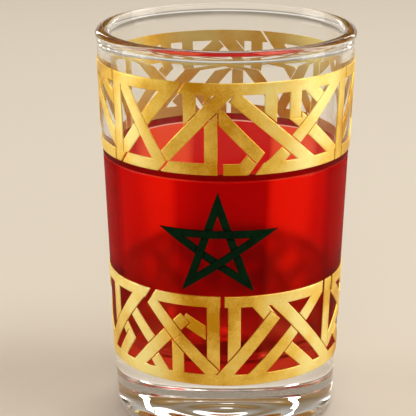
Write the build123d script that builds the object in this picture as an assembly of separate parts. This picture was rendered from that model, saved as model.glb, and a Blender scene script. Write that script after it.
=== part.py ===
from build123d import *
import os
from math import atan2, cos, degrees, radians, sin
from typing import NamedTuple

# A gilded tea glass with a ruby band and a green star.
# Millimetres, +Z up, origin at the middle of the foot. The star faces -Y.
# Angles are in degrees round the glass, from -Y towards +X.

# Glass
height = 96.0
rim_diameter = 62.0
foot_diameter = 53.9
wall = 3.0
floor_thickness = 18.0
floor_corner_radius = 7.0
heel_radius = 2.2
punt_diameter = 38.0
punt_depth = 1.4
bead_height = 5.0
bead_swell = 0.35

# Ruby stain
red_depth = 0.2
red_tuck = 0.3
line_drop = 1.6
line_width = 0.35
line_depth = 0.1

# Gold
gold_thickness = 0.3
strap_width = 3.1
rail_width = 2.8
crossing_gap = 0.2
hairline_seam = 0.5
narrow_slit = 0.9
wide_slit = 1.25
bead_to_gold = 0.6
upper_height = 21.7
lower_foot = 14.9
lower_height = 22.7

# Green star
star_thickness = 0.35
star_width = 27.6
star_bar = 1.9
star_top_margin = 2.3
star_foot_margin = 1.1

# Heights that follow from the sizes
bead_foot = height - wall / 2 - bead_height
upper_top = bead_foot - bead_to_gold
upper_foot = upper_top - upper_height
lower_top = lower_foot + lower_height
red_foot = lower_foot + rail_width - red_tuck
red_top = upper_foot + red_tuck
line_height = upper_foot - line_drop

# Shares of a band's height from its edge to just past its rail
upper_rail = (rail_width + crossing_gap) / upper_height
lower_rail = (rail_width + crossing_gap) / lower_height


class Strip(NamedTuple):
    """A straight strip of a band, given by the angle and the share of the band's height at its two ends."""

    start_angle: float
    start_share: float
    end_angle: float
    end_share: float
    seam_width: float = 0


# A strip with no seam width is a gold strap, which goes under the straps listed before it.
# A strip with one stays empty: it cuts the rails and the straps listed after it.
upper_layout = [
    # The left post and the four long straps in front
    Strip(-51.5, 0.0, -51.5, 1.0),
    Strip(-49.6, 1.0, -23.8, 0.0),
    Strip(-31.3, 0.0, 7.7, 1.0),
    Strip(-0.9, 1.0, 48.6, 0.0),
    Strip(-54.0, 0.0, -17.9, 1.0),
    # Seams that carry the edges of those straps on through the rails
    Strip(-18.7, 1 - upper_rail, -14.4, 1.0, hairline_seam),
    Strip(-50.4, 0.0, -45.7, upper_rail, hairline_seam),
    Strip(-27.1, 0.0, -22.1, upper_rail, hairline_seam),
    # The right post and the long strap that ends beside it
    Strip(65.2, 0.0, 65.2, 1.0),
    Strip(19.6, 0.0, 64.1, 1.0),
    # Slits right of the centre post and left of the long strap
    Strip(1.25, 0.0, 1.25, upper_rail, wide_slit),
    Strip(15.0, 0.0, 23.8, 0.29, wide_slit),
    # The centre post and what goes under
    Strip(-2.9, 0.0, -2.9, 1.0),
    Strip(-0.8, 0.682, 19.9, 0.161),
    Strip(9.3, 0.0, 16.9, 0.24),
    Strip(34.7, 0.58, 34.7, 1.0),
    Strip(33.6, 0.636, 66.2, 0.0),
    Strip(37.6, 1.0, 51.0, 0.705),
    Strip(-12.1, 0.493, -12.1, 1.0),
    Strip(23.0, 0.517, 23.0, 1.0),
    # The side panel
    Strip(93.1, 1.0, 136.0, 0.0),
    Strip(83.5, 0.0, 116.0, 1.0),
    Strip(65.2, 0.181, 91.9, 1.0),
    Strip(105.5, 1.0, 127.5, 0.66),
    Strip(92.5, 0.276, 92.5, 1.0),
    # Seams that carry the edges of the left and the right post on through the rails
    Strip(-54.9, 1 - upper_rail, -54.9, 1.0, hairline_seam),
    Strip(-55.0, 0.0, -55.0, upper_rail, hairline_seam),
    Strip(68.6, 1 - upper_rail, 68.6, 1.0, hairline_seam),
    Strip(68.7, 0.0, 68.7, upper_rail, hairline_seam),
    Strip(61.7, 0.0, 61.7, upper_rail, hairline_seam),
]
lower_layout = [
    # The long falling strap and the long rising strap in front, with a slit beside the second
    Strip(24.5, 1.0, 69.3, 0.0),
    Strip(-79.5, 0.0, -37.8, 1.0),
    Strip(-39.8, 0.78, -32.7, 1.0, wide_slit),
    # The straps that meet them
    Strip(-35.9, 0.912, -19.6, 0.52),
    Strip(-1.2, 0.0, 28.3, 0.762),
    # Slits in the top rail, on both sides of the right post and right of the centre post
    Strip(58.7, 1 - lower_rail, 58.7, 1.0, narrow_slit),
    Strip(66.9, 1 - lower_rail, 66.9, 1.0, narrow_slit),
    Strip(2.25, 1 - lower_rail, 2.25, 1.0, narrow_slit),
    # The right post and three long straps
    Strip(62.7, 0.0, 62.7, 1.0),
    Strip(13.2, 0.0, 59.3, 1.0),
    Strip(-49.5, 0.0, -15.7, 0.74),
    Strip(-21.5, 0.555, 4.2, 0.0),
    # The centre post and what goes under
    Strip(-2.1, 0.0, -2.1, 1.0),
    Strip(-19.9, 0.0, -19.9, 0.52),
    Strip(-17.0, 0.736, -1.5, 0.537),
    Strip(-49.0, 0.731, -33.0, 0.38),
    Strip(-63.7, 0.0, -49.5, 0.383),
    Strip(-57.3, 0.533, -48.5, 0.32),
    Strip(7.9, 0.235, 7.9, 1.0),
    Strip(15.6, 1.0, 26.6, 0.714),
    Strip(-35.5, 0.313, -24.8, 0.0),
    Strip(32.9, 0.427, 54.9, 0.0),
    # The side panel
    Strip(60.5, 1.0, 108.8, 0.167),
    Strip(63.5, 0.229, 106.5, 1.0),
    Strip(117.0, 0.396, 117.0, 1.0),
    Strip(79.0, 1.0, 93.2, 0.76),
    Strip(72.5, 0.39, 93.0, 0.0),
]


def outer_radius(z):
    """The radius of the tapered outer surface."""
    share = z / height
    return (foot_diameter + (rim_diameter - foot_diameter) * share) / 2


def cone_ring(low, high, inward, outward):
    """A ring between two heights, from a depth inside the outer surface to a height outside it."""
    corners = [
        (outer_radius(low) - inward, low),
        (outer_radius(low) + outward, low),
        (outer_radius(high) + outward, high),
        (outer_radius(high) - inward, high),
    ]
    return revolve(Plane.XZ * Polygon(*corners, align=None), Axis.Z)


def glass_body():
    """The tumbler: punt, foot, heel, tapered wall with the recess for the stain, beaded rim, inside."""
    rim_radius = rim_diameter / 2
    lip = wall / 2
    inner_floor_radius = outer_radius(floor_thickness) - wall
    heel = (foot_diameter / 2, 0)
    floor_corner = (inner_floor_radius, floor_thickness)
    punt = ThreePointArc(
        (-punt_diameter / 2, 0), (0, punt_depth), (punt_diameter / 2, 0)
    ).trim(0.5, 1)
    outside = Polyline(
        (punt_diameter / 2, 0),
        heel,
        (outer_radius(red_foot), red_foot),
        (outer_radius(red_foot) - red_depth, red_foot),
        (outer_radius(red_top) - red_depth, red_top),
        (outer_radius(red_top), red_top),
        (outer_radius(bead_foot), bead_foot),
    )
    bead_middle = bead_foot + bead_height / 2
    bead = ThreePointArc(
        (outer_radius(bead_foot), bead_foot),
        (outer_radius(bead_middle) + bead_swell, bead_middle),
        (rim_radius, height - lip),
    )
    rim = ThreePointArc(
        (rim_radius, height - lip), (rim_radius - lip, height), (rim_radius - wall, height - lip)
    )
    inside = Polyline(
        (rim_radius - wall, height - lip), floor_corner, (0, floor_thickness), (0, punt_depth)
    )
    profile = make_face([punt, outside, bead, rim, inside])
    profile = fillet(profile.vertices().sort_by_distance((*heel, 0))[:1], heel_radius)
    profile = fillet(profile.vertices().sort_by_distance((*floor_corner, 0))[:1], floor_corner_radius)
    return revolve(Plane.XZ * profile, Axis.Z)


def red_band():
    """The stain, flush in its recess and tucked under two rails, with a fine line cut round it."""
    band = cone_ring(red_foot, red_top, red_depth, 0)
    return band - cone_ring(line_height - line_width / 2, line_height + line_width / 2, line_depth, wall)


def outward_plane(angle):
    """A plane through the axis that faces outward at an angle, with its Y along the axis."""
    turn = radians(angle)
    return Plane((0, 0, 0), x_dir=(cos(turn), sin(turn), 0), z_dir=(sin(turn), -cos(turn), 0))


def outward_prism(angle, outline):
    """A flat outline on the outward plane, as a prism through the wall, up to 45 degrees to each side."""
    start = foot_diameter / 2 * cos(radians(45))
    end = rim_diameter / 2 + wall
    plane = outward_plane(angle).offset(start)
    return extrude(plane * outline, end - start, dir=plane.z_dir)


def on_plane(angle, z, middle):
    """Where a point of the outer surface lies on the outward plane at the middle angle."""
    return Vector(outer_radius(z) * sin(radians(angle - middle)), z)


def strip_prism(strip, foot, band_height, width, overrun=0):
    """A flat-sided prism over one strip, which may run past the strip's two ends."""
    middle = (strip.start_angle + strip.end_angle) / 2
    start = on_plane(strip.start_angle, foot + strip.start_share * band_height, middle)
    end = on_plane(strip.end_angle, foot + strip.end_share * band_height, middle)
    run = end - start
    tilt = degrees(atan2(run.Y, run.X))
    outline = Pos(start + run / 2) * Rot(0, 0, tilt) * Rectangle(run.length + 2 * overrun, width)
    return outward_prism(middle, outline)


def half_turn(shape):
    """The shape and its copy on the other side of the axis."""
    return [shape, Rot(0, 0, 180) * shape]


def strap_kind(strap):
    """Which group a strap belongs to. Every strap that leans is listed from its left end."""
    if strap.start_angle == strap.end_angle:
        return "posts"
    if strap.start_share < strap.end_share:
        return "rising_straps"
    return "falling_straps"


def gold_band(name, layout, foot, band_height):
    """One gold band: two rails and the straps between them, which repeat after half a turn."""
    top = foot + band_height
    lattice = cone_ring(foot + rail_width, top - rail_width, 0, gold_thickness)
    bottom_rail = cone_ring(foot, foot + rail_width, 0, gold_thickness)
    top_rail = cone_ring(top - rail_width, top, 0, gold_thickness)
    groups = {"posts": [], "rising_straps": [], "falling_straps": []}
    cutters = []
    for strip in layout:
        if strip.seam_width:
            width = strip.seam_width
            seam = half_turn(strip_prism(strip, foot, band_height, width, overrun=width))
            bottom_rail -= seam
            top_rail -= seam
            cutters += seam
            continue
        strap = lattice & strip_prism(strip, foot, band_height, strap_width)
        for cutter in cutters:
            if cutter.bounding_box().overlaps(strap.bounding_box()):
                strap -= cutter
        for copy in half_turn(strap):
            groups[strap_kind(strip)] += copy.solids()
        cutters += half_turn(strip_prism(strip, foot, band_height, strap_width + 2 * crossing_gap))
    nodes = {f"{name}_{kind}": solids for kind, solids in groups.items()}
    nodes[f"{name}_bottom_rail"] = bottom_rail.solids()
    nodes[f"{name}_top_rail"] = top_rail.solids()
    return nodes


def green_star():
    """A pentagram of five straight bars, drawn flat and raised on the outer surface."""
    foot = lower_top + star_foot_margin
    top = line_height - star_top_margin
    reach_up = (top - foot) / (1 + cos(radians(36)))
    reach_across = star_width / (2 * sin(radians(72)))
    middle = Vector(0, top - reach_up)
    notch_share = cos(radians(72)) / cos(radians(36))

    def point(turn, share):
        return middle + Vector(reach_across * sin(radians(turn)), reach_up * cos(radians(turn))) * share

    tips = [point(72 * step, 1) for step in range(5)]
    notches = [point(72 * step + 36, notch_share) for step in range(5)]
    outline = Polygon(*[corner for pair in zip(tips, notches) for corner in pair], align=None)
    bars = Sketch()
    for step in range(5):
        start = tips[step]
        end = tips[(step + 2) % 5]
        inward = (end - start).rotate(Axis.Z, -90).normalized() * star_bar
        bars += Polygon(start, end, end + inward, start + inward, align=None)
    return cone_ring(foot, top, 0, star_thickness) & outward_prism(0, outline & bars)


def main():
    os.makedirs("parts", exist_ok=True)
    nodes = {"glass_body": glass_body().solids()}
    nodes["red_band"] = red_band().solids()
    nodes["green_star"] = green_star().solids()
    nodes.update(gold_band("upper", upper_layout, upper_foot, upper_height))
    nodes.update(gold_band("lower", lower_layout, lower_foot, lower_height))
    for name, solids in nodes.items():
        export_step(Compound(children=solids), f"parts/{name}.step")


main()
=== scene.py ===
from math import acos, asin, atan2, ceil, cos, degrees, dist, hypot, pi, radians, sin, tan, tau

import bmesh
import bpy
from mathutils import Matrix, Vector, noise
from mathutils.geometry import delaunay_2d_cdt, intersect_line_line_2d


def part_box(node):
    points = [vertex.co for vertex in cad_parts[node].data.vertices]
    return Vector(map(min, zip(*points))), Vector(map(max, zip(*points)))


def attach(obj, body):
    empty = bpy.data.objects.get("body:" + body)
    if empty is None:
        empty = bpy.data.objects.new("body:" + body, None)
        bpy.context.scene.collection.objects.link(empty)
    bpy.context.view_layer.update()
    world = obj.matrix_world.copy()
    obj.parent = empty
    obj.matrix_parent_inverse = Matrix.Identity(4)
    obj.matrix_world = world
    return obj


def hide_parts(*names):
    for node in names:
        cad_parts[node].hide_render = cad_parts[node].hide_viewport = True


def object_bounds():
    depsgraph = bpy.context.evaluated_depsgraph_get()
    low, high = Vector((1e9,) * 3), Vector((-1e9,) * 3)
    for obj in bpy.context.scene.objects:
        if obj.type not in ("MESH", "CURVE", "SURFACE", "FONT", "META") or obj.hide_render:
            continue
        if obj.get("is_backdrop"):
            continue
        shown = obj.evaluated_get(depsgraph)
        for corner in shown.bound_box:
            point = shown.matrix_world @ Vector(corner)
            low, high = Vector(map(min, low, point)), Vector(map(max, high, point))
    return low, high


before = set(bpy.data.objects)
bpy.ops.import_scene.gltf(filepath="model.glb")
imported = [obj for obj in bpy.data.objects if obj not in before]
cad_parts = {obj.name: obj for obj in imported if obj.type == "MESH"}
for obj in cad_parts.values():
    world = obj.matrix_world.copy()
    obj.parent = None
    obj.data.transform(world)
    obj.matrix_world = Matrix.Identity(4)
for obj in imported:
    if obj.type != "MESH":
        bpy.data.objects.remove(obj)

# A gilded tea glass with a ruby band and a green star, in metres, with the star facing -Y.
cad_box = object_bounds()

# The glass
height = cad_box[1][2]
wall = 0.003
inside_from = 0.8 * wall
floor_thickness = 0.018
floor_corner_radius = 0.007
heel_radius = 0.0022
punt_radius = 0.019
punt_depth = 0.0014
lip_radius = wall / 2
red_depth = 0.0002
ring_height = 0.00008
ring_length = 0.006
wave_height = 0.00004
wave_fade = 0.02

# The waves of the inside: share of the height, waves round the glass, radians per metre up it, start
inner_waves = [(1, 5, 90, 0), (0.6, 9, -140, 1.3), (0.5, 14, 0, 2.1)]

# How finely the glass is divided, with the lip's angles in degrees
glass_segments = 288
punt_steps = 72
heel_steps = 14
floor_corner_steps = 20
lip_start = -60
lip_end = 180
lip_step = 3
line_step = 0.002
ring_step = 0.0003

# The ruby stain
film_gap = 0.00001
line_height = 0.0656
line_width = 0.00035
line_depth = 0.0001

# The gold and the star
sink = 0.00003
gold_bevel = 0.00024
gold_ripple = 0.00002
gold_ripple_length = 0.0018
gold_grid = 0.0006
gold_side_step = 0.8 * gold_grid
star_bar = 0.0019
star_bevel = 0.00016
star_crown = 0.00007
star_grid = 0.0002
star_side_step = 2 * star_grid
weave_dip = 0.00018
weave_reach = 0.0009
weave_step = 0.00004
grid_clearance = 0.45
bevel_degrees = (0, 30, 60, 90)
tip_count = 5

# For each bar of the star, clockwise from the one that falls from the top, the bars that pass over it
bars_over = [(1, 4), (), (1, 3), (4,), ()]

# What limits how far the rounded edges of the gold and the star reach in
farthest_room = 0.01
across_share = 0.25
neighbour_share = 0.8
corner_share = 0.9
corner_reach = 5
corner_sine = 0.3
longest_mitre = 2.2

# Tolerances, and the angle from which an edge is sharp
merge_slack = 1e-9
profile_slack = 1e-7
place_slack = 1e-6
edge_slack = 1e-5
face_slack = 4e-5
sharp_angle = radians(40)

# The studio
floor_half = 4.0
floor_colour = (0.72, 0.66, 0.57)
lamp_colour = (1.0, 0.96, 0.9)
lamp_spread = radians(100)

# The camera, as the photograph was taken
camera_place = (0.0255, -0.4168, 0.1788)
camera_tilt = radians(90 - 17.09)
camera_turn = radians(4.09)
camera_lens = 153.8
camera_sensor = 36

gold_nodes = [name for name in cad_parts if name.startswith(("upper_", "lower_"))]


# Where the tapered surfaces are

def outermost(node):
    """The node's lowest and highest points that are furthest from the axis, as (height, radius)."""
    points = [(v.co.z, hypot(v.co.x, v.co.y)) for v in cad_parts[node].data.vertices]
    low = min(z for z, r in points)
    high = max(z for z, r in points)
    reach_low = max(r for z, r in points if z < low + edge_slack)
    reach_high = max(r for z, r in points if z > high - edge_slack)
    return (low, reach_low), (high, reach_high)


(red_foot, red_foot_radius), (red_top, red_top_radius) = outermost("red_band")
taper = (red_top_radius - red_foot_radius) / (red_top - red_foot)
gold_foot, gold_reach = outermost("lower_bottom_rail")[0]
star_low, star_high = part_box("green_star")


def outer_radius(z):
    """The radius of the glass."""
    return red_foot_radius + taper * (z - red_foot)


gold_thickness = gold_reach - outer_radius(gold_foot)
star_thickness = max(
    hypot(v.co.x, v.co.y) - outer_radius(v.co.z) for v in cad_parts["green_star"].data.vertices
)
rim_radius = outer_radius(height)
foot_radius = outer_radius(0)
lip_swell = min(cad_box[1][0], cad_box[1][1]) - rim_radius


# Meshes

def add_piece(name, bm, node, material):
    """Adds a piece from a bmesh: it rides on the body and stands for its node."""
    bmesh.ops.recalc_face_normals(bm, faces=bm.faces)
    mesh = bpy.data.meshes.new(name)
    bm.to_mesh(mesh)
    bm.free()
    mesh.polygons.foreach_set("use_smooth", [True] * len(mesh.polygons))
    mesh.set_sharp_from_angle(angle=sharp_angle)
    mesh.materials.append(material)
    piece = bpy.data.objects.new(name, mesh)
    bpy.context.scene.collection.objects.link(piece)
    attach(piece, "root")
    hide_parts(node)


def arc(centre, radius, start, end, steps):
    """Points of an arc in the profile's plane, from one angle to another, in degrees."""
    turns = [radians(start + (end - start) * step / steps) for step in range(steps + 1)]
    return [(centre[0] + radius * cos(turn), centre[1] + radius * sin(turn)) for turn in turns]


def dome(reach, rise, steps):
    """Points of the arc from a rise on the axis down to a reach at height 0."""
    radius = (reach ** 2 + rise ** 2) / (2 * rise)
    end = degrees(atan2(radius - rise, reach))
    return arc((0, rise - radius), radius, 90, end, steps)


def fillet(corner, before, after, radius, steps):
    """Points of the arc that rounds a corner between two neighbours."""
    p = Vector(corner)
    to_before = (Vector(before) - p).normalized()
    to_after = (Vector(after) - p).normalized()
    half = acos(to_before.dot(to_after)) / 2
    reach = radius * cos(half) / sin(half)
    centre = p + (to_before + to_after).normalized() * (radius / sin(half))
    start = p + to_before * reach - centre
    end = p + to_after * reach - centre
    sweep = start.angle_signed(end)
    base = atan2(start.y, start.x)
    turns = [base - sweep * step / steps for step in range(steps + 1)]
    return [(centre.x + radius * cos(turn), centre.y + radius * sin(turn)) for turn in turns]


def straight(start, end, longest=line_step):
    """Points from one end of a line to the other, in even steps."""
    count = max(1, ceil(dist(start, end) / longest))
    across = end[0] - start[0]
    up = end[1] - start[1]
    shares = [step / count for step in range(count + 1)]
    return [(start[0] + across * share, start[1] + up * share) for share in shares]


def joined(*runs):
    """One list of points without repeats where runs meet."""
    points = []
    for run in runs:
        for point in run:
            if not points or dist(point, points[-1]) > profile_slack:
                points.append(point)
    return points


def sides_of(loop):
    """The sides of a closed loop, as pairs of neighbours."""
    return zip(loop, loop[1:] + loop[:1])


def revolved(profile, closed, wave=None):
    """A bmesh of a profile turned round the axis. Points on the axis become poles."""
    bm = bmesh.new()
    rings = []
    for radius, z in profile:
        if radius < profile_slack:
            rings.append([bm.verts.new((0, 0, z))])
            continue
        ring = []
        for step in range(glass_segments):
            turn = tau * step / glass_segments
            reach = radius + (wave(radius, z, turn) if wave else 0)
            ring.append(bm.verts.new((reach * sin(turn), -reach * cos(turn), z)))
        rings.append(ring)
    pairs = sides_of(rings) if closed else zip(rings, rings[1:])
    for one, two in pairs:
        for step in range(glass_segments):
            after = (step + 1) % glass_segments
            lower = [one[step % len(one)], one[after % len(one)]]
            upper = [two[after % len(two)], two[step % len(two)]]
            corners = list(dict.fromkeys(lower + upper))
            if len(corners) > 2:
                bm.faces.new(corners)
    return bm


# The glass and its stain

def inner_wave(radius, z, turn):
    """The slight unevenness of the pressed inside."""
    if outer_radius(z) - radius < inside_from or z < floor_thickness:
        return 0
    fade = min(1, (height - z) / wave_fade)
    ripple = sum(share * sin(count * turn + rise * z + start) for share, count, rise, start in inner_waves)
    return wave_height * fade * ripple


def ringed(points):
    """A stretch of the section with faint rings, which fade towards its two ends."""
    reach = max(radius for radius, z in points)
    lifted = []
    for radius, z in points:
        fade = sin(pi * radius / reach)
        lifted.append((radius, z + ring_height * fade * (1 - cos(tau * radius / ring_length))))
    return lifted


def lip():
    """The rounded lip, a little wider than the wall, from the outside over the top to the inside."""
    middle = height - lip_radius
    points = []
    for turn in range(lip_start, lip_end + lip_step, lip_step):
        across = cos(radians(turn))
        reach = lip_radius + lip_swell if across > 0 else lip_radius
        z = middle + lip_radius * sin(radians(turn))
        radius = rim_radius - lip_radius + reach * across
        if radius > outer_radius(z) or z > middle - profile_slack:
            points.append((radius, z))
    return points


def glass_profile():
    """Half of the tumbler's section, from the middle of the punt to the middle of the floor."""
    red_low = (outer_radius(red_foot), red_foot)
    heel = fillet((foot_radius, 0), (punt_radius, 0), red_low, heel_radius, heel_steps)
    rim = lip()
    corner = fillet(
        (outer_radius(floor_thickness) - wall, floor_thickness),
        (rim_radius - wall, height - lip_radius),
        (0, floor_thickness),
        floor_corner_radius,
        floor_corner_steps,
    )
    return joined(
        ringed(dome(punt_radius, punt_depth, punt_steps)),
        straight((punt_radius, 0), heel[0]),
        heel,
        straight(heel[-1], red_low),
        straight(
            (outer_radius(red_foot) - red_depth, red_foot),
            (outer_radius(red_top) - red_depth, red_top),
        ),
        straight((outer_radius(red_top), red_top), rim[0]),
        rim,
        straight(rim[-1], corner[0]),
        corner,
        ringed(straight(corner[-1], (0, floor_thickness), ring_step)),
    )


def stain_profile():
    """The section of the stain: a thin film in its recess, with the fine line cut into it."""
    low = red_foot + film_gap
    high = red_top - film_gap
    line_low = line_height - line_width / 2
    line_high = line_height + line_width / 2
    film = red_depth - film_gap

    def at(z, depth):
        return (outer_radius(z) - depth, z)

    return joined(
        straight(at(low, 0), at(line_low, 0)),
        [at(line_height, line_depth)],
        straight(at(line_high, 0), at(high, 0)),
        straight(at(high, film), at(low, film)),
    )


# Outlines of the raised work, read from the frame's own faces

def outer_loops(node, thickness):
    """For each solid of a node, the loops of places round its outer face."""
    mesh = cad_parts[node].data
    places = {}
    faces = []
    for polygon in mesh.polygons:
        corners = [mesh.vertices[index].co for index in polygon.vertices]
        if any(abs(hypot(c.x, c.y) - outer_radius(c.z) - thickness) > face_slack for c in corners):
            continue
        keys = [tuple(round(value / place_slack) for value in corner) for corner in corners]
        if len(set(keys)) < 3:
            continue
        places.update(zip(keys, corners))
        faces.append(keys)
    sides = dict.fromkeys(side for keys in faces for side in sides_of(keys))
    following = {one: two for one, two in sides if (two, one) not in sides}
    group = {key: key for key in places}

    def leader(key):
        while group[key] != key:
            group[key] = group[group[key]]
            key = group[key]
        return key

    for keys in faces:
        for key in keys[1:]:
            group[leader(key)] = leader(keys[0])
    solids = {}
    while following:
        start, key = following.popitem()
        loop = [start]
        while key != start:
            loop.append(key)
            key = following.pop(key)
        solids.setdefault(leader(start), []).append([places[key] for key in loop])
    return list(solids.values())


def angle_of(place):
    """The angle of a place round the axis, from the front."""
    return atan2(place.x, -place.y)


def unrolled(loop, middle):
    """A loop's places as points (angle from the middle, height)."""
    points = []
    for place in loop:
        angle = angle_of(place) - middle
        angle -= tau * round(angle / tau)
        if points:
            angle += tau * round((points[-1][0] - angle) / tau)
        points.append((angle, place.z))
    return points


def flattened(loops, middle, scale, longest):
    """Loops of places as loops of flat points (length, height), with long sides cut into steps."""
    flat = []
    for loop in loops:
        points = [(angle * scale, z) for angle, z in unrolled(loop, middle)]
        flat.append([point for one, two in sides_of(points) for point in straight(one, two, longest)[:-1]])
    return flat


# Raised work, which is drawn flat and laid on the wall

def edge_steps(bevel):
    """The rounding of an edge, as (distance in from the edge, distance up from where it starts)."""
    turns = [radians(turn) for turn in bevel_degrees]
    return [(bevel * (1 - cos(turn)), bevel * sin(turn)) for turn in turns]


def left_sides(loop, index):
    """The directions to the left of the side before a point of a loop and of the side after it."""
    here = Vector(loop[index])
    along_in = (here - Vector(loop[index - 1])).normalized()
    along_out = (Vector(loop[(index + 1) % len(loop)]) - here).normalized()
    return Vector((-along_in.y, along_in.x)), Vector((-along_out.y, along_out.x))


def room_at(loop, index, sides):
    """How far a point can move in before it meets a side across from it or, at a corner, its neighbours."""
    here = Vector(loop[index])
    left_in, left_out = left_sides(loop, index)
    far = here + (left_in + left_out).normalized() * farthest_room
    spots = [intersect_line_line_2d(here, far, one, two) for one, two in sides]
    gaps = [(spot - here).length for spot in spots if spot]
    room = across_share * min((gap for gap in gaps if gap > place_slack), default=farthest_room)
    if abs(left_in.cross(left_out)) > corner_sine:
        for neighbour in (loop[index - 1], loop[(index + 1) % len(loop)]):
            room = min(room, neighbour_share * (Vector(neighbour) - here).length)
    return room


def narrow_near(loop, corner, rooms):
    """Lowers the rooms of the points near a convex corner to what the corner's other side leaves them."""
    left_in, left_out = left_sides(loop, corner)
    if left_in.cross(left_out) < corner_sine:
        return
    slope = tan((pi - left_in.angle(left_out)) / 2)
    for step in range(1, corner_reach + 1):
        for index in ((corner - step) % len(loop), (corner + step) % len(loop)):
            room = corner_share * slope * dist(loop[corner], loop[index])
            rooms[index] = min(rooms[index], room)


def rooms_inside(loops):
    """For each point of each loop, how far it can move in."""
    sides = [side for loop in loops for side in sides_of(loop)]
    rooms = []
    for loop in loops:
        row = [room_at(loop, index, sides) for index in range(len(loop))]
        for corner in range(len(loop)):
            narrow_near(loop, corner, row)
        rooms.append(row)
    return rooms


def inset(loop, shares, rooms, distance):
    """A closed loop with each of its sides moved to the left by that side's share of a distance."""
    points = []
    for index, here in enumerate(loop):
        left_in, left_out = left_sides(loop, index)
        reach_in = distance * shares[index - 1]
        reach_out = distance * shares[index]
        turn = left_in.cross(left_out)
        if abs(turn) < corner_sine:
            move = (left_in * reach_in + left_out * reach_out) / 2
        else:
            across = reach_in * left_out.y - reach_out * left_in.y
            up = reach_out * left_in.x - reach_in * left_out.x
            move = Vector((across, up)) / turn
        limit = min(longest_mitre * distance, rooms[index])
        if move.length > limit:
            move *= limit / move.length
        points.append((here[0] + move.x, here[1] + move.y))
    return points


def inside(point, loops):
    """Whether a point is inside an odd number of loops."""
    found = False
    for loop in loops:
        for one, two in sides_of(loop):
            if (one[1] > point[1]) != (two[1] > point[1]):
                crossing = one[0] + (point[1] - one[1]) / (two[1] - one[1]) * (two[0] - one[0])
                found ^= crossing > point[0]
    return found


def near(point, loops, distance):
    """Whether a point is close to a point of a loop."""
    return any(dist(point, other) < distance for loop in loops for other in loop)


def filling(outline, grid, creases):
    """Points inside an outline: those of its creases, and a grid that keeps clear of them and the edge."""
    edge = [point for loop in outline for point in loop]
    low = [min(point[axis] for point in edge) for axis in (0, 1)]
    high = [max(point[axis] for point in edge) for axis in (0, 1)]
    rows = int((high[1] - low[1]) / grid) + 1
    columns = int((high[0] - low[0]) / grid) + 2
    points = [point for point in creases if inside(point, outline)]
    taken = [*outline, creases]
    for row in range(rows):
        for column in range(columns):
            point = (low[0] + (column + 0.5 * (row % 2)) * grid, low[1] + (row + 0.5) * grid)
            if inside(point, outline) and not near(point, taken, grid_clearance * grid):
                points.append(point)
    return points


def raised(bm, loops, shares, middle, scale, thickness, bevel, grid, relief, creases=()):
    """Adds one raised shape, which lies to the left of its loops of flat points.

    Lengths are counted from the angle middle, at the radius scale. Each side of a loop has its share of the
    bevel, and relief gives the height of the face at a point.
    """

    def place(point, level):
        angle = middle + point[0] / scale
        reach = outer_radius(point[1]) + level
        return bm.verts.new((reach * sin(angle), -reach * cos(angle), point[1]))

    def add_edge(loop, parts, rooms):
        """Adds the edge along a loop. Returns the loop of its face and the vertices there and behind."""
        rows = [[place(point, -sink) for point in loop]]
        for bevel_in, bevel_up in edge_steps(bevel)[:-1]:
            row = inset(loop, parts, rooms, bevel_in)
            rows.append([place(point, thickness - bevel + bevel_up) for point in row])
        top = inset(loop, parts, rooms, bevel)
        rows.append([place(point, relief(point)) for point in top])
        for lower, upper in zip(rows, rows[1:]):
            for one, two in zip(sides_of(lower), sides_of(upper)):
                bm.faces.new((one[0], one[1], two[1], two[0]))
        return top, rows[-1], rows[0]

    outline = []
    fronts = []
    backs = []
    edges = []
    for loop, parts, rooms in zip(loops, shares, rooms_inside(loops)):
        top, front, back = add_edge(loop, parts, rooms)
        first = len(fronts)
        edges += sides_of(list(range(first, first + len(top))))
        outline.append(top)
        fronts += front
        backs += back
    points = [Vector(point) for loop in outline for point in loop]
    points += [Vector(point) for point in filling(outline, grid, creases)]
    leave_out_holes = 2
    coordinates, _, faces, sources, _, _ = delaunay_2d_cdt(points, edges, [], leave_out_holes, merge_slack)
    pairs = []
    for point, source in zip(coordinates, sources):
        if source and source[0] < len(fronts):
            pairs.append((fronts[source[0]], backs[source[0]]))
        else:
            pairs.append((place(point, relief(point)), place(point, -sink)))
    for face in faces:
        centre = sum((coordinates[index] for index in face), Vector((0, 0))) / len(face)
        if inside(centre, outline):
            bm.faces.new([pairs[index][0] for index in face])
            bm.faces.new([pairs[index][1] for index in reversed(face)])


# The gold

def gold_level(angle, z):
    """How far the slightly uneven face of the gold stands off the glass."""
    spot = Vector((rim_radius * sin(angle), rim_radius * cos(angle), z)) / gold_ripple_length
    return gold_thickness - gold_ripple * (1 + noise.noise(spot))


def lies_along(one, two, edge):
    """Whether two heights are both that of an edge."""
    return max(abs(one - edge), abs(two - edge)) < place_slack


def stretch(one, two):
    """The angles between two places, the short way round."""
    start, end = sorted((angle_of(one), angle_of(two)))
    return (start, end) if end - start < pi else (end, start + tau)


def rail_joints(shapes):
    """For each edge of the lattices, by its height, the stretches of angle where straps meet a rail."""
    joints = {}
    for band in ("upper_", "lower_"):
        straps = [node for node in gold_nodes if node.startswith(band) and not node.endswith("rail")]
        loops = [loop for node in straps for solid in shapes[node] for loop in solid]
        sides = [side for loop in loops for side in sides_of(loop)]
        heights = [one.z for one, two in sides]
        for edge in (min(heights), max(heights)):
            joints[edge] = [stretch(one, two) for one, two in sides if lies_along(one.z, two.z, edge)]
    return joints


def joined_at(angle, stretches):
    """Whether an angle lies in one of the stretches."""
    return any((angle - start) % tau < end - start for start, end in stretches)


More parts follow.
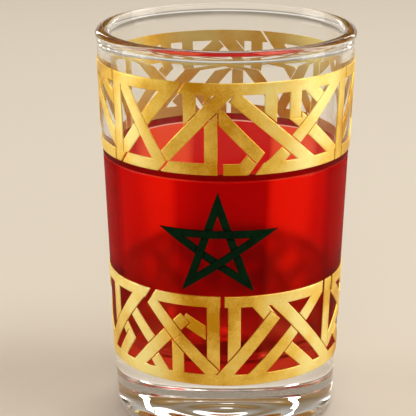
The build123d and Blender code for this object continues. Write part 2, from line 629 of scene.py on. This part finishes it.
def add_straps(node, shapes, joints, material):
    """A gold node as hand-laid straps, with rounded edges except where a strap runs into a rail."""
    bm = bmesh.new()
    for loops in shapes[node]:
        middle = angle_of(loops[0][0])
        heights = [place.z for place in loops[0]]
        scale = outer_radius((min(heights) + max(heights)) / 2)
        flat = flattened(loops, middle, scale, gold_side_step)

        def share(one, two):
            """How much of the bevel a side gets: none where a strap and a rail meet, otherwise all."""
            for edge, stretches in joints.items():
                if lies_along(one[1], two[1], edge):
                    return 0 if joined_at(middle + (one[0] + two[0]) / 2 / scale, stretches) else 1
            return 1

        def relief(point):
            return gold_level(middle + point[0] / scale, point[1])

        shares = [[share(one, two) for one, two in sides_of(loop)] for loop in flat]
        raised(bm, flat, shares, middle, scale, gold_thickness, gold_bevel, gold_grid, relief)
    add_piece(node + "_gilt", bm, node, material)


def add_ring(node, joints, material):
    """A gold node that goes all the way round, as one rail with rounded edges."""
    low, high = (corner.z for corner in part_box(node))
    ledge = gold_thickness - gold_bevel
    stretches = next(stretches for edge, stretches in joints.items() if abs(edge - high) < place_slack)

    def at(z, level):
        return (outer_radius(z) + level, z)

    steps = edge_steps(gold_bevel)
    lower_edge = [at(low + bevel_in, ledge + bevel_up) for bevel_in, bevel_up in steps]
    upper_edge = [at(high - bevel_in, ledge + bevel_up) for bevel_in, bevel_up in reversed(steps)]
    profile = joined(
        [at(low, -sink)],
        lower_edge,
        straight(lower_edge[-1], upper_edge[0], gold_grid),
        upper_edge,
        [at(high, -sink)],
    )

    def ripple(radius, z, turn):
        level = radius - outer_radius(z)
        on_face = level > gold_thickness - profile_slack
        if on_face or (level > 0 and z > high - gold_bevel and joined_at(turn, stretches)):
            return gold_level(turn, z) - level
        return 0

    add_piece(node + "_gilt", revolved(profile, True, ripple), node, material)


# The star

def star_bars():
    """The five bars of the star as (start, end, inward direction), in (across, height)."""
    fifth = tau / tip_count
    reach_across = star_high.x / sin(fifth)
    reach_up = (star_high.z - star_low.z) / (1 + cos(fifth / 2))
    middle = Vector((0, star_high.z - reach_up))
    tips = []
    for step in range(tip_count):
        tips.append(middle + Vector((reach_across * sin(step * fifth), reach_up * cos(step * fifth))))
    bars = []
    for step in range(tip_count):
        start = tips[step]
        end = tips[(step + 2) % tip_count]
        along = (end - start).normalized()
        bars.append((start, end, Vector((along.y, -along.x))))
    return bars


def add_star(material):
    """The star, with crowned bars that dip where another bar passes over them."""
    bars = star_bars()
    scale = outer_radius((star_low.z + star_high.z) / 2)

    def depth_into(bar, flat):
        return (flat - bar[0]).dot(bar[2])

    def relief(point):
        flat = Vector((outer_radius(point[1]) * sin(point[0] / scale), point[1]))
        depths = [depth_into(bar, flat) for bar in bars]
        level = star_thickness - star_crown - weave_dip
        for depth, overs in zip(depths, bars_over):
            clear = min((max(-depths[over], depths[over] - star_bar) for over in overs), default=weave_reach)
            if not -edge_slack <= depth <= star_bar + edge_slack or clear < 0:
                continue
            share = 2 * depth / star_bar - 1
            dip = max(0, 1 - clear / weave_reach) ** 2
            level = max(level, star_thickness - star_crown * share * share - weave_dip * dip)
        return level

    def creases():
        """Points on both sides of each edge of a bar where it passes over another."""
        points = []
        crossings = [(under, bars[over]) for under, overs in zip(bars, bars_over) for over in overs]
        for under, (start, end, inward) in crossings:
            for along in straight(start, end, 2 * weave_step):
                for depth in (-weave_step, 0, star_bar, star_bar + weave_step):
                    flat = Vector(along) + inward * depth
                    if 0 < depth_into(under, flat) < star_bar:
                        points.append((asin(flat.x / outer_radius(flat.y)) * scale, flat.y))
        return points

    bm = bmesh.new()
    for loops in outer_loops("green_star", star_thickness):
        flat = flattened(loops, 0, scale, star_side_step)
        shares = [[1] * len(loop) for loop in flat]
        raised(bm, flat, shares, 0, scale, star_thickness, star_bevel, star_grid, relief, creases())
    add_piece("green_star_enamel", bm, "green_star", material)


# Materials

def new_tree(owner):
    """Helpers for the owner's nodes: one adds a node, one a colour ramp, and one sets up the shader."""
    owner.use_nodes = True
    tree = owner.node_tree

    def fill(node, inputs):
        for place, value in inputs.items():
            if isinstance(value, bpy.types.NodeSocket):
                tree.links.new(value, node.inputs[place])
            else:
                node.inputs[place].default_value = value

    def add(kind, inputs, **settings):
        node = tree.nodes.new("ShaderNode" + kind)
        for name, value in settings.items():
            setattr(node, name, value)
        fill(node, inputs)
        return node.outputs

    def ramp(share, stops):
        outputs = add("ValToRGB", {"Fac": share})
        elements = outputs[0].node.color_ramp.elements
        while len(elements) < len(stops):
            elements.new(0.5)
        for element, (place, colour) in zip(elements, stops):
            element.position = place
            element.color = (*colour, 1)
        return outputs["Color"]

    def shade(inputs):
        fill(tree.nodes.get("Principled BSDF") or tree.nodes["Background"], inputs)

    return add, ramp, shade


def glass_material():
    """Clear pressed glass with the faint unevenness of its mould."""
    material = bpy.data.materials.new("clear_glass")
    add, _, shade = new_tree(material)
    place = add("TexCoord", {})["Object"]
    uneven = add("TexNoise", {"Vector": place, "Scale": 90, "Detail": 1})["Fac"]
    bump = add("Bump", {"Height": uneven, "Strength": 0.05, "Distance": 0.0004})["Normal"]
    shade({
        "Base Color": (0.985, 0.99, 0.985, 1),
        "Roughness": 0,
        "IOR": 1.5,
        "Specular Tint": (0.3, 0.3, 0.3, 1),
        "Transmission Weight": 1,
        "Normal": bump,
    })
    return material


def stain_material():
    """Transparent ruby, doubled above the bared line, with painted light in bright upright panes and darker
    puffs at the foot that are partly deeper ruby and partly painted shade.
    """
    dark = (0.68, 0.004, 0.004)
    painted_light_red = (1.0, 0.09, 0.035)
    deep_and_shaded_red = (0.46, 0.012, 0.004, 1)
    double = (0.3, 0.004, 0.005, 1)
    bare = (0.97, 0.5, 0.45, 1)
    material = bpy.data.materials.new("ruby_stain")
    add, ramp, shade = new_tree(material)
    place = add("TexCoord", {})["Object"]
    z = add("SeparateXYZ", {"Vector": place})["Z"]

    # Painted light: bright upright panes of red at the diagonals between front, back and sides, darker red
    # at front, back and sides, with streaky edges
    upright = add("Mapping", {"Vector": place, "Scale": (1, 1, 0.06)})["Vector"]
    streaks = add("TexNoise", {"Vector": upright, "Scale": 70, "Detail": 3, "Roughness": 0.55})["Fac"]
    turn = add("TexGradient", {"Vector": place}, gradient_type="RADIAL")["Fac"]
    quarter = add("Math", {0: turn, 1: 0.25}, operation="PINGPONG")[0]
    sway = add("Math", {0: streaks, 1: 0.05, 2: quarter}, operation="MULTIPLY_ADD")[0]
    painted_light_panes = ramp(sway, [(0.115, dark), (0.13, painted_light_red), (0.205, painted_light_red), (0.215, dark)])

    # Darker in puffs towards the foot: partly deeper ruby, partly painted shade
    puffs = add("TexNoise", {"Vector": place, "Scale": 110, "Detail": 2})["Fac"]
    drift = add("Math", {0: puffs, 1: 0.03, 2: z}, operation="MULTIPLY_ADD")[0]
    depth = add("MapRange", {
        "Value": drift, "From Min": 0.042, "From Max": 0.062, "To Min": 0.6, "To Max": 0,
    }, interpolation_type="SMOOTHSTEP")[0]
    deepened_and_shaded = add("Mix", {"Factor": depth, "A": painted_light_panes, "B": deep_and_shaded_red}, data_type="RGBA")["Result"]

    above = add("Math", {0: z, 1: line_height}, operation="GREATER_THAN")[0]
    doubled = add("Mix", {"Factor": above, "A": deepened_and_shaded, "B": double}, data_type="RGBA")["Result"]
    on_line = add("Math", {0: z, 1: line_height, 2: line_width / 2}, operation="COMPARE")[0]
    bared = add("Mix", {"Factor": on_line, "A": doubled, "B": bare}, data_type="RGBA")["Result"]
    shade({
        "Base Color": bared,
        "Roughness": 0.5,
        "IOR": 1.05,
        "Transmission Weight": 1,
        "Coat Weight": 0.05,
        "Coat Roughness": 0.02,
    })
    return material


def gold_material():
    """Burnished leaf with patches, grain and uneven polish; painted shade makes it amber and painted light
    pale by turns round it, and painted light makes the back paler.
    """
    amber = (0.64, 0.3, 0.012)
    yellow = (0.95, 0.64, 0.11)
    pale = (1.0, 0.88, 0.36)
    amber_tone = 0.34
    yellow_tone = 0.49
    pale_tone = 0.66
    eighth = 0.125
    material = bpy.data.materials.new("gold_leaf")
    add, ramp, shade = new_tree(material)
    place = add("TexCoord", {})["Object"]
    patches = add("TexNoise", {"Vector": place, "Scale": 75, "Detail": 1})["Fac"]
    clouds = add("TexNoise", {"Vector": place, "Scale": 260, "Detail": 4, "Roughness": 0.6})["Fac"]
    grain = add("TexNoise", {"Vector": place, "Scale": 2600, "Detail": 3, "Roughness": 0.7})["Fac"]
    fine = add("Mix", {"Factor": 0.5, "A": clouds, "B": grain}, data_type="FLOAT")["Result"]
    mixed = add("Mix", {"Factor": 0.45, "A": patches, "B": fine}, data_type="FLOAT")["Result"]

    # Painted shade and painted light: amber at the front, back and sides, pale at the diagonals between them
    turn = add("TexGradient", {"Vector": place}, gradient_type="RADIAL")["Fac"]
    painted_light_swing = add("Math", {0: turn, 1: eighth}, operation="PINGPONG")[0]
    painted_light_by_turn = add("MapRange", {"Value": painted_light_swing, "From Max": eighth, "To Min": -0.09, "To Max": 0.09})["Result"]
    # Painted light over the back half, which makes it evenly paler
    y = add("SeparateXYZ", {"Vector": place})["Y"]
    behind = add("MapRange", {"Value": y, "From Min": -0.005, "From Max": 0.015})["Result"]
    painted_light_lift = add("Mix", {"Factor": behind, "A": painted_light_by_turn, "B": 0.07}, data_type="FLOAT")["Result"]
    tone_and_painted_light = add("Math", {0: mixed, 1: painted_light_lift}, operation="ADD")[0]
    colour = ramp(tone_and_painted_light, [(amber_tone, amber), (yellow_tone, yellow), (pale_tone, pale)])
    polish = add("MapRange", {
        "Value": tone_and_painted_light, "From Min": amber_tone, "From Max": pale_tone, "To Min": 0.4, "To Max": 0.5,
    })["Result"]
    bump = add("Bump", {"Height": grain, "Strength": 0.35, "Distance": 0.00006})["Normal"]
    shade({"Base Color": colour, "Metallic": 1, "Roughness": polish, "Normal": bump})
    return material


def enamel_material():
    """Dark green enamel: slightly cloudy, unevenly glossy, with painted shade where a bar dips and at its
    edges.
    """
    dark = (0, 0.002, 0.001)
    green = (0, 0.017, 0.004)
    material = bpy.data.materials.new("green_enamel")
    add, ramp, shade = new_tree(material)
    place = add("TexCoord", {})["Object"]
    z = add("SeparateXYZ", {"Vector": place})["Z"]
    # Painted shade: the colour darkens where the enamel stands less far off the glass, in the dips where a
    # bar passes under another and at its rounded edges
    across = add("Mapping", {"Vector": place, "Scale": (1, 1, 0)})["Vector"]
    reach = add("VectorMath", {0: across}, operation="LENGTH")["Value"]
    glass = add("Math", {0: z, 1: taper, 2: foot_radius}, operation="MULTIPLY_ADD")[0]
    level = add("Math", {0: reach, 1: glass}, operation="SUBTRACT")[0]
    rise = add("MapRange", {
        "Value": level, "From Min": star_thickness - weave_dip, "From Max": star_thickness,
    }, interpolation_type="SMOOTHSTEP")["Result"]
    clouds = add("TexNoise", {"Vector": place, "Scale": 400, "Detail": 3})["Fac"]
    tone_and_painted_light = add("Math", {0: rise, 1: clouds}, operation="MULTIPLY")[0]
    colour = ramp(tone_and_painted_light, [(0.05, dark), (0.6, green)])
    polish = add("MapRange", {"Value": clouds, "To Min": 0.2, "To Max": 0.36})["Result"]
    bump = add("Bump", {"Height": clouds, "Strength": 0.12, "Distance": 0.00008})["Normal"]
    shade({"Base Color": colour, "Roughness": polish, "Specular IOR Level": 0.05, "Normal": bump})
    return material


# The studio

def build_floor():
    """A plain pale floor."""
    corners = [(floor_half * x, floor_half * y, 0) for x, y in ((-1, -1), (1, -1), (1, 1), (-1, 1))]
    mesh = bpy.data.meshes.new("floor")
    mesh.from_pydata(corners, [], [(0, 1, 2, 3)])
    material = bpy.data.materials.new("pale_floor")
    _, _, shade = new_tree(material)
    shade({"Base Color": (*floor_colour, 1), "Roughness": 0.7})
    mesh.materials.append(material)
    floor = bpy.data.objects.new("floor", mesh)
    bpy.context.scene.collection.objects.link(floor)
    floor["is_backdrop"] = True


def build_world():
    """A room that is pale at the horizon, amber and dim above it, and grey overhead."""
    pale = (0.8, 0.76, 0.7)
    amber = (0.36, 0.2, 0.06)
    dim = (0.2, 0.125, 0.05)
    grey = (0.45, 0.43, 0.4)
    world = bpy.data.worlds.new("studio")
    add, ramp, shade = new_tree(world)
    direction = add("TexCoord", {})["Generated"]
    rise = add("SeparateXYZ", {"Vector": direction})["Z"]
    shade({"Color": ramp(rise, [(0.1, pale), (0.18, amber), (0.34, dim), (0.6, grey)])})
    bpy.context.scene.world = world


def add_lamp(name, place, aim, size, watts):
    """A soft lamp of a width and a height that points at a place."""
    lamp = bpy.data.lights.new(name, "AREA")
    lamp.shape = "RECTANGLE"
    lamp.size, lamp.size_y = size
    lamp.spread = lamp_spread
    lamp.energy = watts
    lamp.color = lamp_colour
    holder = bpy.data.objects.new(name, lamp)
    holder.location = place
    holder.rotation_euler = (Vector(aim) - Vector(place)).to_track_quat("-Z", "Y").to_euler()
    bpy.context.scene.collection.objects.link(holder)


def build_lamps():
    """Soft lamps on all sides and above, with two narrow ones behind that edge the glass."""
    centre = (0, 0, height / 2)
    floor_behind = (0, 0.35, 0)
    add_lamp("right", (1.0, 0.0, 0.26), centre, size=(0.55, 0.45), watts=1.4)
    add_lamp("left", (-1.0, 0.0, 0.26), centre, size=(0.55, 0.45), watts=1.3)
    add_lamp("front", (0.05, -0.8, 0.62), centre, size=(0.4, 0.4), watts=0.4)
    add_lamp("top", (0.4, -0.15, 0.8), centre, size=(0.4, 0.4), watts=0.65)
    add_lamp("back", (0.1, 0.75, 0.7), floor_behind, size=(0.6, 0.6), watts=0.8)
    for side in (-1, 1):
        add_lamp("strip", (0.45 * side, 0.8, 0.3), centre, size=(0.08, 0.4), watts=0.2)


def build_camera():
    """The camera, and how the scene is rendered."""
    scene = bpy.context.scene
    lens = bpy.data.cameras.new("camera")
    lens.lens = camera_lens
    lens.sensor_width = camera_sensor
    camera = bpy.data.objects.new("camera", lens)
    camera.location = camera_place
    camera.rotation_euler = (camera_tilt, 0, camera_turn)
    scene.collection.objects.link(camera)
    scene.camera = camera
    scene.view_settings.view_transform = "Standard"
    scene.cycles.max_bounces = 32
    scene.cycles.transmission_bounces = 32
    scene.cycles.glossy_bounces = 8
    scene.cycles.sample_clamp_indirect = 6


def main():
    """Builds every piece and the studio."""
    glass = revolved(glass_profile(), False, inner_wave)
    add_piece("glass_tumbler", glass, "glass_body", glass_material())
    add_piece("ruby_band", revolved(stain_profile(), True), "red_band", stain_material())
    gold = gold_material()
    shapes = {node: outer_loops(node, gold_thickness) for node in gold_nodes}
    joints = rail_joints(shapes)
    for node in gold_nodes:
        if node == "lower_bottom_rail":
            add_ring(node, joints, gold)
        else:
            add_straps(node, shapes, joints, gold)
    add_star(enamel_material())
    build_floor()
    build_world()
    build_lamps()
    build_camera()
    boxes = {"cad": cad_box, "visual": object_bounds()}
    {name: [list(corner) for corner in box] for name, box in boxes.items()}


main()
